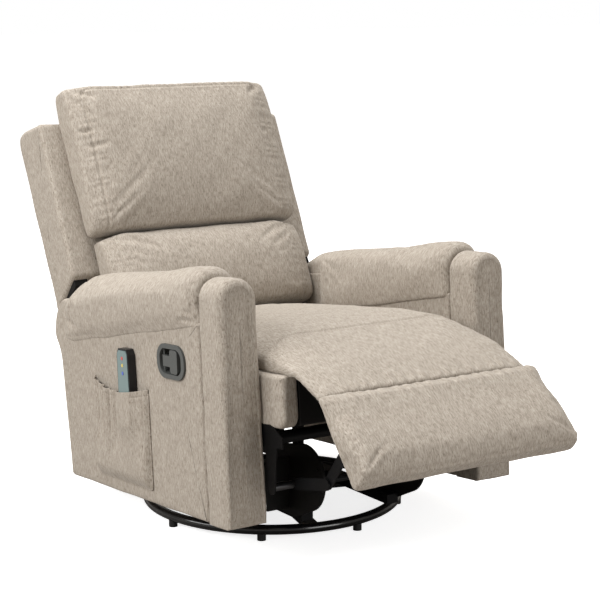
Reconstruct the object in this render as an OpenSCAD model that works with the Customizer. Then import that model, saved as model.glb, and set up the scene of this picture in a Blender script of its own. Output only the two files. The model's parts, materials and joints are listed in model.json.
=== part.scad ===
// Swivel glider recliner for a nursery: ring base, glide linkage, upholstered seat,
// arms, reclining back and a fold-out footrest. Millimetres, +Z up.
// The chair faces -Y. The origin is on the floor, under the middle of the resting box.

/* [Base] */
// Radius of the ring, to the middle of its tube
ring_r = 300; // [280:1:320]
// Radius of the ring's tube
ring_tube_r = 11.5; // [10:0.5:13]
// Height of the middle of the ring's tube
ring_z = 24; // [22:0.5:26]
// Number of rubber feet under the ring
foot_count = 8; // [6:1:10]
// Direction of the first leg, seen from above
leg_turn = -15; // [-45:1:45]
// Width of a base leg
leg_w = 38; // [30:1:44]
// Distance of the swivel axis behind the origin
swivel_y = 76; // [60:1:90]

/* [Glide] */
// Length of a glide link between its pivots
glide_link = 105; // [95:1:110]
// Height of the lower glide pivots
glide_low_z = 105; // [100:1:110]
// Front glide pivots, forward of the swivel axis
glide_front_y = -285; // [-295:1:-275]
// Rear glide pivots, behind the swivel axis
glide_rear_y = 215; // [205:1:225]
// Radius of the glide pins
glide_pin_r = 6; // [5:0.5:7]

/* [Seat] */
// Backward lean of the whole seat when the back is reclined
seat_pitch = 4.4; // [4:0.1:5]
// Half the gap between the arms
arm_gap = 284; // [284:1:288]
// Height of the seat top
seat_z = 455; // [445:1:460]
// Half the width of the seat cushion
seat_half_w = 268; // [262:1:270]

/* [Arms] */
// Half the width across the arms' side panels
arm_out = 380; // [378:1:382]
// Height of the arms' lower edge
arm_low_z = 75; // [70:1:90]
// Front of the arms
arm_front_y = -410; // [-415:1:-405]
// Top of the rounded front post
post_top_z = 600; // [590:1:606]
// Top of the pad where it meets the post
pad_top_z = 626; // [616:1:630]
// Slope of the pad towards the rear
pad_slope = 5.3; // [4.5:0.1:6]

/* [Back] */
// Recline of the back from the seat's upright
back_angle = 21.3; // [18:0.1:24]
// Half the width of the back shell
back_half_w = 352; // [345:1:354]
// Depth of the back shell
back_depth = 136; // [125:1:142]
// Height of the back shell along its slope
back_top = 556; // [540:1:565]
// Half the width of the upper back cushion
cushion_half_w = 291; // [280:1:295]
// Height of the seam between the two back cushions
cushion_split = 243; // [230:1:255]

/* [Footrest] */
// Length of a footrest link between its pivots
fold_link = 125; // [120:1:130]
// Half the width of the footrest pads
rest_half_w = 282; // [270:1:288]
// Direction in which the footrest travels, above the horizontal
fold_rise = 28.5; // [26:0.5:31]
// Half the angle between the open links
fold_open = 20; // [18:1:22]
// Slope of the open footrest board
rest_slope = 56; // [54:0.5:58]
// Slope of the open chaise board
chaise_slope = 27; // [25:0.5:29]

/* [Handle and remote] */
// Width of the handle's bezel
bezel_w = 120; // [110:1:126]
// Height of the handle's bezel
bezel_h = 76; // [70:1:80]
// Depth of the side pocket
pocket_depth = 22; // [21:0.5:24]
// Length of the remote
remote_len = 150; // [140:1:160]

/* [Hidden] */

$fn = 64;
fit = 0.05;            // radial clearance of a pin in its bore
gap = 0.4;             // clearance between faces that slide past each other
steel = "#141414";
fabric = "#b8aea1";
fabric_dark = "#9a8f80";
wood = "#b08a5a";

pitch_z = 400;                          // the seat leans about a line at this height
plate_x = 132;                          // inner face of the glide side plates
plate_t = 6;
link_x = 119.5;                         // inner face of the glide links
link_t = 6;
hanger_x = 106;                         // inner face of the hangers
hanger_t = 6;
rail_x = 281;                           // inner face of the seat rails
tube_r = 14;
glide_high_z = glide_low_z + glide_link;
hub_top = 46;
bearing_t = 6;
deck_z = hub_top + bearing_t + gap;     // underside of the swivel plate
deck_t = 6;
rail_h = 22;
tube_front = [-440, 262];               // front cross tube, in the seat's frame
tube_mid = [-270, 290];                 // tube that carries the front hangers
tube_rear = [230, 290];                 // tube that carries the rear hangers
back_ref = [271, 424.4];                // foot of the back's front plane, in the seat's frame
recline_pin = [40, -20];                // recline pivot, in the back's frame
chaise_pin = [-521, 386];               // chaise hinge, in the seat's frame
fold_pin = [-427.4, 155.4];             // rear pivot of the fold linkage
rest_ref = [-610, 366];                 // rear edge of the footrest board
fold_x = 225;                           // inner face of the fold links
fold_t = 5;
fold_pin_r = 5;
bracket_x = 270;
bracket_t = 6;
arm_split = [318, 330];                 // faces of the plywood core inside an arm
bezel_mid = [-200, 411];                // middle of the bezel, in the seat's frame
remote_mid = -2;                        // middle of the remote along the arm
remote_low_z = 272;
remote_t = 20;
pocket_mid = 48;
pocket_w = 262;
pocket_z = [108, 338];

// A point of the seat's frame in the level frame: [y, z].
function level(p) = [
    p[0] * cos(seat_pitch) + (p[1] - pitch_z) * sin(seat_pitch),
    pitch_z + (p[1] - pitch_z) * cos(seat_pitch) - p[0] * sin(seat_pitch)];
// A step of length s in direction a, measured from +Y towards +Z.
function polar(a, s) = [s * cos(a), s * sin(a)];

fold_dir = 180 - fold_rise;
elbow = fold_pin + polar(fold_dir + fold_open, fold_link);
rest_pin = elbow + polar(fold_dir - fold_open, fold_link);

module on_swivel() translate([0, swivel_y, 0]) children();
module on_seat() on_swivel() translate([0, 0, pitch_z]) rotate([-seat_pitch, 0, 0])
    translate([0, 0, -pitch_z]) children();
module on_back() on_seat() translate([0, back_ref[0], back_ref[1]])
    rotate([-back_angle, 0, 0]) children();
module on_chaise() on_seat() translate([0, chaise_pin[0], chaise_pin[1]])
    rotate([chaise_slope, 0, 0]) children();
module on_footrest() on_seat() translate([0, rest_ref[0], rest_ref[1]])
    rotate([rest_slope, 0, 0]) children();

// A side profile drawn in [y, z], carried along X from x0 to x1.
module along_x(x0, x1) translate([x0, 0, 0]) rotate([90, 0, 90])
    linear_extrude(x1 - x0) children();
// The same profile on one side: side is 1 for +X and -1 for -X.
module on_side(side, x0, x1) along_x(side > 0 ? x0 : -x1, side > 0 ? x1 : -x0) children();
// A round pin along X on one side, from x0 to x1, centred on the point p = [y, z].
module pin_x(side, x0, x1, p, r) translate([side > 0 ? x0 : -x1, p[0], p[1]])
    rotate([0, 90, 0]) cylinder(h = x1 - x0, r = r);
// A flat bar with round ends between two points, with a bore at each end.
module link_profile(a, b, r, bore_a, bore_b) difference() {
    hull() {
        translate(a) circle(r, $fn = 32);
        translate(b) circle(r, $fn = 32);
    }
    translate(a) circle(bore_a);
    translate(b) circle(bore_b);
}
// A rectangle with round corners, between two opposite corners.
module rounded(a, b, r) {
    translate([a[0] + r, a[1]]) square([b[0] - a[0] - 2 * r, b[1] - a[1]]);
    translate([a[0], a[1] + r]) square([b[0] - a[0], b[1] - a[1] - 2 * r]);
    for (u = [a[0] + r, b[0] - r], v = [a[1] + r, b[1] - r]) translate([u, v]) circle(r);
}

// ---- base ----
module ring_tube() translate([0, 0, ring_z]) rotate_extrude($fn = 96)
    translate([ring_r, 0]) circle(ring_tube_r, $fn = 32);
module base_ring() color(steel) on_swivel() ring_tube();
module base_legs() color(steel) on_swivel() for (k = [0 : 3]) difference() {
    rotate([0, 0, leg_turn + 90 * k]) translate([50, -leg_w / 2, ring_z])
        cube([ring_r - 54, leg_w, 6]);
    cylinder(h = 80, r = 60);
    ring_tube();
}
module base_hub() color(steel) on_swivel() difference() {
    union() {
        translate([0, 0, ring_z]) cylinder(h = 6, r = 60);
        translate([0, 0, ring_z + 6]) cylinder(h = hub_top - ring_z - 6, r = 75);
    }
    cylinder(h = 90, r = 12);
}
module base_feet() color("#202020") on_swivel() for (k = [0 : foot_count - 1]) difference() {
    rotate([0, 0, 8 + k * 360 / foot_count]) translate([ring_r, 0, 0]) cylinder(h = 16, r = 10);
    ring_tube();
}
module swivel_bearing() color("silver") on_swivel() translate([0, 0, hub_top])
    rotate_extrude() translate([40, 0]) square([30, bearing_t]);
module swivel_bolt() color("silver") on_swivel() {
    translate([0, 0, 18]) cylinder(h = deck_z + deck_t - 18 + gap, r = 12);
    translate([0, 0, deck_z + deck_t + gap]) cylinder(h = 9, r = 19, $fn = 6);
    translate([0, 0, 14]) cylinder(h = 10, r = 19, $fn = 6);
}

// ---- turntable ----
module swivel_plate() color(steel) on_swivel() translate([0, 0, deck_z]) difference() {
    cylinder(h = deck_t, r = 112);
    translate([0, 0, -1]) cylinder(h = deck_t + 2, r = 12 + fit);
}
rail_front = -330;
rail_back = 304;
module glide_side_rails() color(steel) on_swivel() for (side = [-1, 1])
    translate([side > 0 ? 102 : -plate_x, rail_front, deck_z + deck_t])
        cube([plate_x - 102, rail_back - rail_front, rail_h]);
module glide_cross_channels() color(steel) on_swivel() {
    for (y = [-84, 54]) translate([-102, y, deck_z + deck_t]) cube([204, 30, rail_h]);
    translate([-plate_x, rail_back - 6, deck_z + deck_t + rail_h]) cube([2 * plate_x, 6, 40]);
}
// A rounded tower plate at the front and a smaller one at the rear, with a bent flange.
module side_plate(side) on_swivel() {
    color("#191919") on_side(side, plate_x, plate_x + plate_t) {
        hull() {
            translate([glide_front_y - 66, glide_high_z - 45]) circle(75, $fn = 48);
            translate([glide_front_y + 34, glide_high_z - 52]) circle(62, $fn = 48);
            translate([rail_front + 20, deck_z + deck_t + 4]) square([147, 10]);
        }
        hull() {
            translate([glide_rear_y, glide_high_z - 8]) circle(34, $fn = 48);
            translate([glide_rear_y - 60, deck_z + deck_t + 4]) square([120, 30]);
        }
    }
    color("#191919") translate([side > 0 ? plate_x + plate_t : -plate_x - plate_t - 56,
        glide_front_y - 2, deck_z + deck_t + rail_h]) cube([56, 5, 118]);
    color("silver") pin_x(side, plate_x + plate_t, plate_x + plate_t + 2.5,
        [glide_front_y - 116, 194], 4);
}
module side_plate_left() side_plate(1);
module side_plate_right() side_plate(-1);
module glide_upper_pins() color("silver") on_swivel() for (side = [-1, 1],
    y = [glide_front_y, glide_rear_y]) {
    pin_x(side, link_x - 4, plate_x, [y, glide_high_z], glide_pin_r);
    pin_x(side, link_x + link_t + gap, plate_x, [y, glide_high_z], 10);
    pin_x(side, link_x - 4, link_x - gap, [y, glide_high_z], 10);
}

// ---- glide links ----
module glide_links(y) color("#262626") on_swivel() for (side = [-1, 1])
    on_side(side, link_x, link_x + link_t) link_profile([y, glide_low_z], [y, glide_high_z], 13,
        glide_pin_r + fit, glide_pin_r + fit);
module front_glide_links() glide_links(glide_front_y);
module rear_glide_links() glide_links(glide_rear_y);

// ---- seat chassis ----
module glide_lower_pins() color("silver") on_swivel() for (side = [-1, 1],
    y = [glide_front_y, glide_rear_y]) {
    pin_x(side, hanger_x + hanger_t, link_x + link_t + 3, [y, glide_low_z], glide_pin_r);
    pin_x(side, hanger_x + hanger_t, link_x - gap, [y, glide_low_z], 10);
    pin_x(side, link_x + link_t + gap, link_x + link_t + 3, [y, glide_low_z], 10);
}
module glide_hangers() color(steel) on_swivel() for (side = [-1, 1],
    pair = [[glide_front_y, level(tube_mid)], [glide_rear_y, level(tube_rear)]])
    on_side(side, hanger_x, hanger_x + hanger_t) difference() {
        hull() {
            translate([pair[0], glide_low_z]) circle(14, $fn = 32);
            translate(pair[1]) circle(22, $fn = 32);
        }
        translate(pair[1]) circle(tube_r);
    }
module cross_tubes() color(steel) on_seat() for (p = [tube_front, tube_mid, tube_rear])
    translate([-rail_x, p[0], p[1]]) rotate([0, 90, 0]) cylinder(h = 2 * rail_x, r = tube_r);
// Side rail with an ear for the recline pivot and a drop plate for the fold linkage.
module seat_rail(side) color(steel) on_seat() on_side(side, rail_x, arm_gap) {
    polygon([[-480, 245], [-480, 268], [-420, 300], [-330, 318], [270, 318], [322, 300],
        [310, 272], [-330, 268], [-395, 240]]);
    hull() {
        translate(fold_pin) circle(15, $fn = 32);
        translate([-436, 258]) circle(22, $fn = 32);
    }
    hull() {
        translate(recline_point()) circle(20, $fn = 32);
        translate([292, 294]) circle(22, $fn = 32);
    }
}
function recline_point() = back_ref + [
    recline_pin[0] * cos(back_angle) + recline_pin[1] * sin(back_angle),
    recline_pin[1] * cos(back_angle) - recline_pin[0] * sin(back_angle)];
module seat_rail_left() seat_rail(1);
module seat_rail_right() seat_rail(-1);
module spring_rails() color(steel) on_seat() for (y = [-428, 222])
    translate([-rail_x, y, 318]) cube([2 * rail_x, 7, 56]);
// Zigzag wire springs: each wire weaves from side to side as it runs from front to rear.
module wire(x, y0, y1, z, sway, turns, r) {
    steps = turns * 8;
    sides = 6;
    path = [for (i = [0 : steps]) [x + sway * sin(360 * turns * i / steps),
        y0 + (y1 - y0) * i / steps, z]];
    points = [for (i = [0 : steps], k = [0 : sides - 1]) path[i]
        + r * [cos(360 * k / sides), 0, sin(360 * k / sides)]];
    walls = [for (i = [0 : steps - 1], k = [0 : sides - 1]) [
        i * sides + k, (i + 1) * sides + k, (i + 1) * sides + (k + 1) % sides,
        i * sides + (k + 1) % sides]];
    polyhedron(points, concat(walls, [[for (k = [0 : sides - 1]) k],
        [for (k = [sides - 1 : -1 : 0]) steps * sides + k]]));
}
module seat_springs() color("silver") on_seat() for (x = [-208 : 104 : 208])
    wire(x, -421, 222, 362, 26, 6, 2);
module seat_box() color(fabric_dark) on_seat() along_x(-275, 275)
    rounded([-512, 284], [-430, 394], 24);
// The cushion's top rises to a flat crown inside its edges.
crown_rise = 28;
module seat_cushion() color(fabric) on_seat() {
    along_x(-seat_half_w, seat_half_w)
        polygon([[206, 380], [-420, 380], [-420, 396], [-514, 396], [-516, 414], [-455, 444],
            [-382, seat_z], [206, seat_z]]);
    hull() {
        translate([-seat_half_w, -382, seat_z - 1]) cube([2 * seat_half_w, 588, 1]);
        translate([-190, -290, seat_z + crown_rise - 1]) cube([380, 390, 1]);
    }
}

// ---- arms ----
pad_low_front = 494;
pad_low_rear = 404;
arm_side_profile = [[-322, arm_low_z], [343, arm_low_z], [369, 376], [392, pad_low_rear],
    [304, pad_low_rear], [-322, pad_low_front]];
handle_cup = [98, 60];
module arm_slab(side, x0, x1) on_side(side, x0, x1) polygon(arm_side_profile);
module cup_space(grow) on_side(-1, arm_out - 40 - grow, arm_out + 10)
    rounded(bezel_mid - handle_cup / 2 - [grow, grow], bezel_mid + handle_cup / 2 + [grow, grow], 24);
module arm_outer_left() color(fabric) on_seat() arm_slab(1, arm_split[1], arm_out);
module arm_outer_right() color(fabric) on_seat() difference() {
    arm_slab(-1, arm_split[1], arm_out);
    cup_space(2);
    pin_x(-1, arm_gap, arm_out, bezel_mid, 6);
}
module arm_core(side) color(wood) on_seat() difference() {
    arm_slab(side, arm_split[0], arm_split[1]);
    pin_x(side, arm_gap, arm_out, bezel_mid, 6);
}
module arm_core_left() arm_core(1);
module arm_core_right() arm_core(-1);
module arm_inner(side) color(fabric_dark) on_seat() difference() {
    arm_slab(side, arm_gap, arm_split[0]);
    pin_x(side, arm_gap - 10, arm_out, bezel_mid, 6);
}
module arm_inner_left() arm_inner(1);
module arm_inner_right() arm_inner(-1);
module arm_post(side) color(fabric) on_seat() {
    half = (arm_out - arm_gap) / 2;
    mid = side * (arm_out - half);
    translate([mid, -322, 0]) rotate([90, 0, 0]) linear_extrude(-322 - arm_front_y) {
        translate([-half, arm_low_z]) square([2 * half, post_top_z - half - arm_low_z]);
        translate([0, post_top_z - half]) circle(half);
    }
}
module arm_post_left() arm_post(1);
module arm_post_right() arm_post(-1);
// The pad: a round-topped bar that slopes down to the rear, cut to the arm's side outline.
// Its inner side steps back at the rear, to clear the recline brackets.
pad_half = 58;
pad_over = 8;                           // how far the pad stands proud of the arm's outside
pad_step = [200, 380];                  // from here rearwards and downwards the pad is narrow
module arm_pad(side) color(fabric) on_seat() intersection() {
    translate([side * (arm_out + pad_over - pad_half), -321, pad_top_z - pad_half])
        rotate([-pad_slope, 0, 0]) rotate([-90, 0, 0]) linear_extrude(760) {
            translate([-pad_half, 0]) square([2 * pad_half, 240]);
            circle(pad_half);
        }
    on_side(side, arm_gap - 20, arm_out + 20) {
        polygon([[-321, pad_low_front], [304, pad_low_rear], [380, pad_low_rear], [397, 424],
            [372, 488], [300, 560], [240, 640], [-321, 640]]);
    }
    difference() {
        translate([-400, -400, 300]) cube([800, 900, 400]);
        on_side(side, arm_gap - 40, arm_gap + gap) translate(pad_step) square([300, 150]);
    }
}
module arm_pad_left() arm_pad(1);
module arm_pad_right() arm_pad(-1);

// ---- pocket, handle and remote, on the sitter's right arm ----
module pocket_outline(grow) rounded([pocket_mid - pocket_w / 2 - grow, pocket_z[0] - grow],
    [pocket_mid + pocket_w / 2 + grow, pocket_z[1] + 40], 16);
module side_pocket() color(fabric_dark) on_seat() difference() {
    on_side(-1, arm_out, arm_out + pocket_depth + 2) pocket_outline(0);
    on_side(-1, arm_out - 1, arm_out + pocket_depth) pocket_outline(-3);
    translate([-arm_out - 60, -300, pocket_z[1]]) cube([120, 600, 100]);
}
module handle_bezel() color("#5d5f5c") on_seat() {
    difference() {
        union() {
            on_side(-1, arm_out, arm_out + 5) rounded(bezel_mid - [bezel_w, bezel_h] / 2,
                bezel_mid + [bezel_w, bezel_h] / 2, 34);
            cup_walls();
        }
        on_side(-1, arm_out - 38, arm_out + 10) cup_opening();
        pin_x(-1, arm_out - 60, arm_out, bezel_mid, 3);
    }
    translate([lever_pin[1], lever_pin[0], bezel_mid[1] - lever_pin_half])
        cylinder(h = 2 * lever_pin_half, r = lever_pin_r);
}
module cup_walls() intersection() {
    cup_space(1.5);
    on_side(-1, arm_out - 45, arm_out) rounded(bezel_mid - [80, 60], bezel_mid + [80, 60], 4);
}
module cup_opening() rounded(bezel_mid - handle_cup / 2 + [2, 2], bezel_mid + handle_cup / 2 - [2, 2], 22);
// T-shaped flap: a wide bar in front and a narrow stem that reaches the pivot behind it.
lever_pin = [bezel_mid[0] + 38, -arm_out + 3];
lever_pin_r = 2;
lever_pin_half = 25;
module pull_lever() color("#4c4e4b") on_seat() difference() {
    union() {
        on_side(-1, arm_out - 5, arm_out + 4) {
            rounded(bezel_mid + [-28, -26], bezel_mid + [4, 26], 7);
            translate(bezel_mid + [0, -12]) square([34, 24]);
        }
        translate([lever_pin[1], lever_pin[0], bezel_mid[1] - 12]) cylinder(h = 24, r = 4.5);
    }
    translate([lever_pin[1], lever_pin[0], bezel_mid[1] - 20]) cylinder(h = 40, r = lever_pin_r + 0.2);
}
// The cable from the handle: through the arm, then down the rail to the fold linkage.
cable_route = [[-340, -200, 411], [-320, -200, 411], [-300, -200, 411], [-282, -200, 409],
    [-276, -202, 400], [-274, -208, 384], [-274, -222, 366], [-274, -242, 350],
    [-274, -270, 336], [-274, -300, 326], [-274, -330, 316], [-274, -360, 302], [-274, -388, 286]];
module release_cable() color("#101010") on_seat() for (i = [0 : len(cable_route) - 2]) hull()
    for (p = [cable_route[i], cable_route[i + 1]]) translate(p) sphere(2.2, $fn = 8);
module on_remote() on_seat() translate([-arm_out - 1 - remote_t, remote_mid, remote_low_z]) children();
module remote_body() color("#151515") on_remote() translate([2, 0, 0]) rotate([90, 0, 90])
    linear_extrude(remote_t - 2) {
        hull() {
            translate([-30, 0]) square([60, 1]);
            translate([-27, remote_len - 14]) square([54, 1]);
            translate([-17, remote_len - 4]) circle(4, $fn = 24);
            translate([17, remote_len - 4]) circle(4, $fn = 24);
        }
    }
module remote_face() color("#6f8d8c") on_remote() difference() {
    translate([0.6, 0, 0]) rotate([90, 0, 90]) linear_extrude(1.4)
        polygon([[-26, 10], [26, 10], [23, remote_len - 12], [16, remote_len - 4],
            [-16, remote_len - 4], [-23, remote_len - 12]]);
    for (z = button_z) translate([-1, 0, z]) rotate([0, 90, 0]) cylinder(h = 4, r = 4.4);
}
button_z = [128, 112, 94];
module button(z, tint) color(tint) on_remote() translate([0, 0, z]) rotate([0, 90, 0])
    cylinder(h = 1.1, r = 4);
module power_button() button(button_z[0], "#c05050");
module massage_button() button(button_z[1], "#b8b060");
module heat_button() button(button_z[2], "#5060b0");

// ---- back ----
module recline_pins() color("silver") on_seat() for (side = [-1, 1]) {
    pin_x(side, bracket_x - 4, rail_x, recline_point(), 8);
    pin_x(side, bracket_x + bracket_t + gap, rail_x, recline_point(), 13);
}
module back_bracket(side) color(steel) on_back() on_side(side, bracket_x, bracket_x + bracket_t)
    difference() {
        hull() {
            translate(recline_pin) circle(20, $fn = 32);
            translate([84, 40]) circle(14, $fn = 32);
            translate([30, 84]) circle(14, $fn = 32);
        }
        translate(recline_pin) circle(8 + fit);
    }
module back_bracket_left() back_bracket(1);
module back_bracket_right() back_bracket(-1);
frame_y = [26, 38];                     // faces of the plywood frame, behind the front plane
module shell_part(y0, y1) intersection() {
    union() {
        along_x(-back_half_w, back_half_w) polygon([[0, 150], [back_depth, 92],
            [back_depth, back_top - 20], [back_depth - 20, back_top], [0, back_top]]);
        along_x(-bracket_x, bracket_x) polygon([[0, -58], [96, -58], [110, 120], [0, 160]]);
    }
    translate([-400, y0, -100]) cube([800, y1 - y0, 800]);
    pin_space();
}
// All of space but the recesses in the shell's sides that the recline pins reach into.
module pin_space() difference() {
    translate([-400, -100, -100]) cube([800, 400, 800]);
    for (side = [-1, 1]) pin_x(side, bracket_x - 6, bracket_x + 1, recline_pin, 11);
}
module back_shell() color(fabric) on_back() shell_part(frame_y[1], back_depth);
module back_frame() color(wood) on_back() shell_part(frame_y[0], frame_y[1]);
module back_front_panel() color(fabric_dark) on_back() shell_part(0, frame_y[0]);
module lower_back_cushion() color(fabric) on_back() along_x(-266, 266)
    polygon([[-0.2, 34], [-52, 34], [-88, 78], [-93, 150], [-84, 225], [-60, 240], [-0.2, 240]]);
module upper_back_cushion() color(fabric) on_back() along_x(-cushion_half_w, cushion_half_w)
    polygon([[-0.2, cushion_split], [-62, cushion_split], [-86, cushion_split + 22], [-93, 400],
        [-88, 540], [-66, 606], [-30, 624], [14, 620], [26, 590], [20, back_top + 1],
        [-0.2, back_top + 1]]);

// ---- chaise and footrest ----
// Lugs on the front of the seat box, each with the pin that a knuckle turns on.
lug_x = 180;
lug_t = 4;
knuckle_w = 14;
module chaise_hinge_pins() color("silver") on_seat() for (side = [-1, 1]) {
    on_side(side, lug_x, lug_x + lug_t) {
        polygon([chaise_pin + [-5, -1], chaise_pin + [0, -5], [-512, 366], [-512, 382],
            chaise_pin + [4, 3]]);
        translate(chaise_pin) circle(5);
    }
    pin_x(side, lug_x + lug_t, lug_x + lug_t + knuckle_w + 2, chaise_pin, 3);
}
// The chaise board and the knuckles that it turns on.
module chaise_board() color(wood) on_chaise() {
    along_x(-(rest_half_w - 22), rest_half_w - 22)
        polygon([[-78, 0], [-7, 0], [-7, 7], [-78, 7]]);
    for (side = [-1, 1]) on_side(side, lug_x + lug_t + gap, lug_x + lug_t + gap + knuckle_w)
        difference() {
            union() {
                circle(5);
                translate([-8, 0]) square([8, 5]);
            }
            circle(3 + fit);
        }
}
module chaise_pad() color(fabric) on_chaise() along_x(-(rest_half_w - 8), rest_half_w - 8)
    polygon([[-80, 7.2], [-3, 7.2], [0, 18], [-6, 28], [-70, 27], [-82, 14]]);
module fold_pivot_pins() color("silver") on_seat() for (side = [-1, 1]) {
    pin_x(side, fold_x - 3, rail_x, fold_pin, fold_pin_r);
    pin_x(side, fold_x + fold_t + gap, rail_x, fold_pin, 9);
    pin_x(side, fold_x - 3, fold_x - gap, fold_pin, 9);
}
// Links to the elbow; each carries the elbow pin that the next link turns on.
module rear_fold_links() color("#262626") on_seat() for (side = [-1, 1]) {
    on_side(side, fold_x, fold_x + fold_t)
        link_profile(fold_pin, elbow, 13, fold_pin_r + fit, 3);
    pin_x(side, fold_x - 10, fold_x + fold_t, elbow, fold_pin_r);
    pin_x(side, fold_x - 10, fold_x - fold_t - 2 * gap, elbow, 9);
}
// The rod that joins the rear links across the chair.
module fold_cross_rod() color(steel) on_seat() along_x(-fold_x, fold_x)
    translate((fold_pin + elbow) / 2) circle(6);
module front_fold_links() color("#262626") on_seat() for (side = [-1, 1])
    on_side(side, fold_x - fold_t - gap, fold_x - gap)
        link_profile(elbow, rest_pin, 12, fold_pin_r + fit, fold_pin_r + fit);
// Brackets under the board with the pins that the front links turn on.
module footrest_brackets() color(steel) {
    on_footrest() for (side = [-1, 1]) translate([side > 0 ? fold_x : -fold_x - 4, -135, -48])
        cube([4, 80, 38.6]);
    on_seat() for (side = [-1, 1]) {
        pin_x(side, fold_x - 10, fold_x + 1, rest_pin, fold_pin_r);
        pin_x(side, fold_x - 10, fold_x - fold_t - 2 * gap, rest_pin, 9);
    }
}
module footrest_board() color(wood) on_footrest() translate([-(rest_half_w - 24), -198, -9.4])
    cube([2 * (rest_half_w - 24), 184, 9.2]);
module footrest_pad() color(fabric) on_footrest() along_x(-rest_half_w, rest_half_w)
    polygon([[-12, 0.1], [-12, 12], [-47, 28], [-120, 54], [-179, 63], [-204, 58], [-216, 36],
        [-211, 8], [-200, 0.1]]);

base_ring();
base_legs();
base_hub();
base_feet();
swivel_bearing();
swivel_bolt();
swivel_plate();
glide_side_rails();
glide_cross_channels();
side_plate_left();
side_plate_right();
glide_upper_pins();
front_glide_links();
rear_glide_links();
glide_lower_pins();
glide_hangers();
cross_tubes();
seat_rail_left();
seat_rail_right();
spring_rails();
seat_springs();
seat_box();
seat_cushion();
arm_outer_left();
arm_core_left();
arm_inner_left();
arm_post_left();
arm_pad_left();
arm_outer_right();
arm_core_right();
arm_inner_right();
arm_post_right();
arm_pad_right();
side_pocket();
handle_bezel();
release_cable();
pull_lever();
remote_body();
remote_face();
power_button();
massage_button();
heat_button();
recline_pins();
back_bracket_left();
back_bracket_right();
back_shell();
back_frame();
back_front_panel();
lower_back_cushion();
upper_back_cushion();
chaise_hinge_pins();
chaise_board();
chaise_pad();
fold_pivot_pins();
rear_fold_links();
fold_cross_rod();
front_fold_links();
footrest_brackets();
footrest_board();
footrest_pad();
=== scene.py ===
import json
import math

import bpy
import numpy as np
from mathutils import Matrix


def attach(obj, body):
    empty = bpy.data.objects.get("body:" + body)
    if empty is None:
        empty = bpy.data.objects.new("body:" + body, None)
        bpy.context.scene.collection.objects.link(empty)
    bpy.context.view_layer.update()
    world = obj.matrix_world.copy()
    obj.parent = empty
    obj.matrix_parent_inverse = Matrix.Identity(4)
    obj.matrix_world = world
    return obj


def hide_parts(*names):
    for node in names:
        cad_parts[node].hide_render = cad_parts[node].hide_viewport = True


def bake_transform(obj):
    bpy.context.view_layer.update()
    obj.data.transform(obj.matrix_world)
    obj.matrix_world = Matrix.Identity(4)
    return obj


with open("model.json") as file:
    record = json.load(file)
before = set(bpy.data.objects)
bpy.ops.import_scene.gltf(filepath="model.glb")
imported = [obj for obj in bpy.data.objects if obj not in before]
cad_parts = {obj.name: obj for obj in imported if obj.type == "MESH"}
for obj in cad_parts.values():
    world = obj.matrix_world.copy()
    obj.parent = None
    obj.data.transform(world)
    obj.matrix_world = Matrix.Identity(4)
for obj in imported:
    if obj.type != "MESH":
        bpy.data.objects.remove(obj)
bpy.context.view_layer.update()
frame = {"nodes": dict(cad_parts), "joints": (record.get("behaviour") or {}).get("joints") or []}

scene = bpy.context.scene
joints = {joint["name"]: joint["pos_m"] for joint in frame["joints"] if joint.get("pos_m")}

# Places. Each is an origin (y, z) in metres and a turn about X in degrees; shapes are drawn
# in the place where they are square and then carried to the chair's own frame.
layout = {
    "seatPitch": -4.4,        # the whole seat leans back by this
    "pitchHeight": 0.400,     # about a line at this height over the swivel axis
    "backTurn": -21.3,        # the back, from the seat
    "reclinePin": (0.040, -0.020),
    "restTurn": 56.0,         # the footrest board, from the seat
    "restPin": (-0.0950, -0.0353),
}


def turnedBy(degrees, y, z):
    c, s = math.cos(math.radians(degrees)), math.sin(math.radians(degrees))
    return y * c - z * s, y * s + z * c


def placeAt(turn, pin, pinLocal):
    # the place with that turn whose local point pinLocal lies on the joint's pin
    y, z = turnedBy(turn, *pinLocal)
    return {"y": pin[1] - y, "z": pin[2] - z, "turn": turn}


seatPin = (0, joints["swivel"][1], layout["pitchHeight"])
seatPlace = placeAt(layout["seatPitch"], seatPin, (0, layout["pitchHeight"]))
backPlace = placeAt(layout["seatPitch"] + layout["backTurn"], joints["recline"], layout["reclinePin"])
restPlace = placeAt(layout["seatPitch"] + layout["restTurn"], joints["footrest_tilt"], layout["restPin"])


def toRow(place, points):
    # local points, as an array that ends in x, y, z, carried to the chair's frame
    y, z = turnedBy(place["turn"], points[..., 1], points[..., 2])
    return np.stack([points[..., 0], place["y"] + y, place["z"] + z], axis=-1)


def toLocal(place, points):
    y, z = turnedBy(-place["turn"], points[..., 1] - place["y"], points[..., 2] - place["z"])
    return np.stack([points[..., 0], y, z], axis=-1)


def vertexArray(mesh, what="co"):
    flat = np.zeros(len(mesh.vertices) * 3, np.float32)
    mesh.vertices.foreach_get(what, flat)
    return flat.reshape(-1, 3).astype(float)


def reach(node, place):
    # lowest and highest corner of a CAD node, measured square to a place
    points = toLocal(place, vertexArray(frame["nodes"][node].data))
    return points.min(axis=0), points.max(axis=0)


# ---------- outlines and surfaces ----------

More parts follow.
